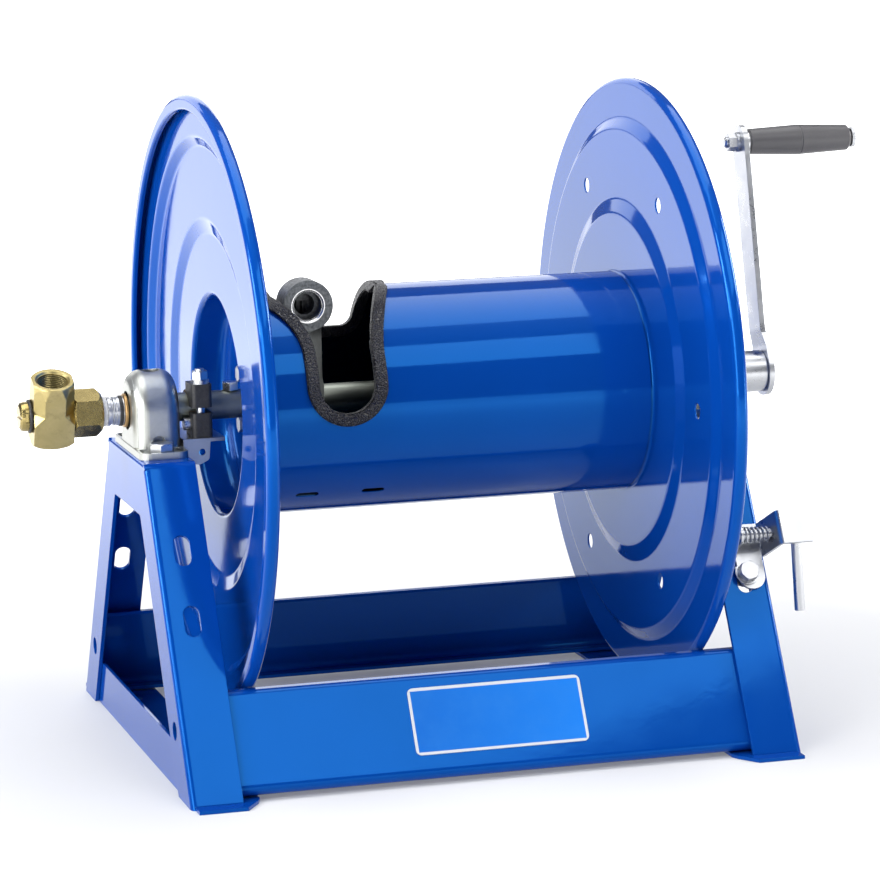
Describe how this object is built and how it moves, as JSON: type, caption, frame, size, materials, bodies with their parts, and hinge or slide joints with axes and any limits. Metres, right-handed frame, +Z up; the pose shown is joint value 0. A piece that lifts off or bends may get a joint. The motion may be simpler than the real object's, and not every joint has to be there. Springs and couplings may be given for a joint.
{
  "type": "hose reel",
  "caption": "Hand-crank hose reel on a bent-steel A-frame: disc-ended drum on ball bearings, swivel inlet elbow, outlet riser, drag brake and spring pin lock",
  "frame": {"origin": "On the floor plane, centre of the four base slots.", "axes": "+Z up, X along the reel axle with the crank at +X and the swivel inlet at -X, front (plate side) at -Y."},
  "size_m": [0.8008, 0.546, 0.5759],
  "materials": {
    "blue_paint": "glossy deep blue enamel on pressed steel",
    "plate_film": "sky blue plate with a pale border, no lettering",
    "zinc_plate": "clear zinc plating, satin, slightly dulled",
    "bearing_steel": "ground bearing steel",
    "bright_steel": "bright turned steel",
    "black_iron": "matte black coated casting",
    "friction_lining": "moulded brake lining",
    "grey_casting": "grey sand casting with machined port faces",
    "trim_rubber": "textured black edge trim",
    "seal_rubber": "smooth black seal rubber",
    "bronze": "plain bronze ring",
    "brass": "machined and cast brass, slightly olive",
    "grip_plastic": "dark grey moulded plastic",
    "white_nylon": "white nylon"
  },
  "bodies": {
    "frame": {"left_end_frame": "blue_paint", "right_end_frame": "blue_paint", "left_cross_member": "blue_paint", "right_cross_member": "blue_paint", "front_rail": "blue_paint", "rear_rail": "blue_paint", "data_plate": "plate_film", "left_bearing_housing": "zinc_plate", "right_bearing_housing": "zinc_plate", "left_bearing_cover": "zinc_plate", "right_bearing_cover": "zinc_plate", "bearing_outer_races": "bearing_steel", "bearing_bolts": "zinc_plate", "bearing_washers": "zinc_plate", "bearing_nuts": "zinc_plate", "brake_bracket": "zinc_plate", "brake_lower_block": "black_iron", "brake_upper_block": "black_iron", "brake_band": "friction_lining", "brake_bolt": "zinc_plate", "brake_spring_washers": "bright_steel", "brake_nut": "bright_steel", "brake_side_screw": "bright_steel", "lock_bracket": "zinc_plate", "lock_fasteners": "zinc_plate"},
    "reel": {"bearing_inner_races": "bearing_steel", "axle": "zinc_plate", "riser": "grey_casting", "drum": "blue_paint", "cutout_trim": "trim_rubber", "left_disc": "blue_paint", "right_disc": "blue_paint", "left_hub_flange": "blue_paint", "right_hub_flange": "blue_paint", "hub_bolts": "zinc_plate", "axle_lock_screw": "bright_steel", "left_seal_ring": "seal_rubber", "thrust_rings": "bronze", "crank_hub": "zinc_plate", "crank_arm": "zinc_plate", "crank_set_screw": "black_iron", "grip_bolt": "zinc_plate", "grip_nut": "zinc_plate", "grip_spacer": "zinc_plate", "swivel_nipple": "bright_steel", "sealing_washer": "white_nylon", "swivel_spindle": "brass", "spindle_o_rings": "seal_rubber", "spindle_clip": "bright_steel"},
    "ball_set": {"bearing_balls": "bearing_steel", "ball_cages": "zinc_plate"},
    "grip": {"grip": "grip_plastic", "grip_bushes": "white_nylon"},
    "swivel": {"swivel_elbow": "brass", "swivel_end_cap": "brass", "end_cap_ring": "seal_rubber"},
    "lock_slide": {"lock_washer": "zinc_plate", "lock_spring": "bright_steel"},
    "lock_handle": {"lock_rod": "zinc_plate", "lock_split_pin": "zinc_plate"}
  },
  "joints": [
    {"name": "reel_spin", "type": "hinge", "parent": "frame", "child": "reel", "pos_m": [0, 0, 0.3029], "axis": [1, 0, 0], "continuous": true},
    {"name": "ball_travel", "type": "hinge", "parent": "frame", "child": "ball_set", "pos_m": [0, 0, 0.3029], "axis": [1, 0, 0], "continuous": true},
    {"name": "grip_spin", "type": "hinge", "parent": "reel", "child": "grip", "pos_m": [0.38, 0.04994, 0.50934], "axis": [1, 0, 0], "continuous": true},
    {"name": "swivel_turn", "type": "hinge", "parent": "reel", "child": "swivel", "pos_m": [-0.3373, 0, 0.3029], "axis": [1, 0, 0], "continuous": true},
    {"name": "lock_pull", "type": "slide", "parent": "frame", "child": "lock_slide", "axis": [1, 0, 0], "range_m": [0, 0.01], "stiffness_N_per_m": 500, "springref_m": -0.006, "deforming": ["lock_spring"]},
    {"name": "lock_turn", "type": "hinge", "parent": "lock_slide", "child": "lock_handle", "pos_m": [0.2983, -0.1489, 0.18163], "axis": [1, 0, 0], "range_deg": [0, 150]}
  ],
  "couplings": [
    {"joint": "ball_travel", "follows": "reel_spin", "ratio": 0.409}
  ]
}
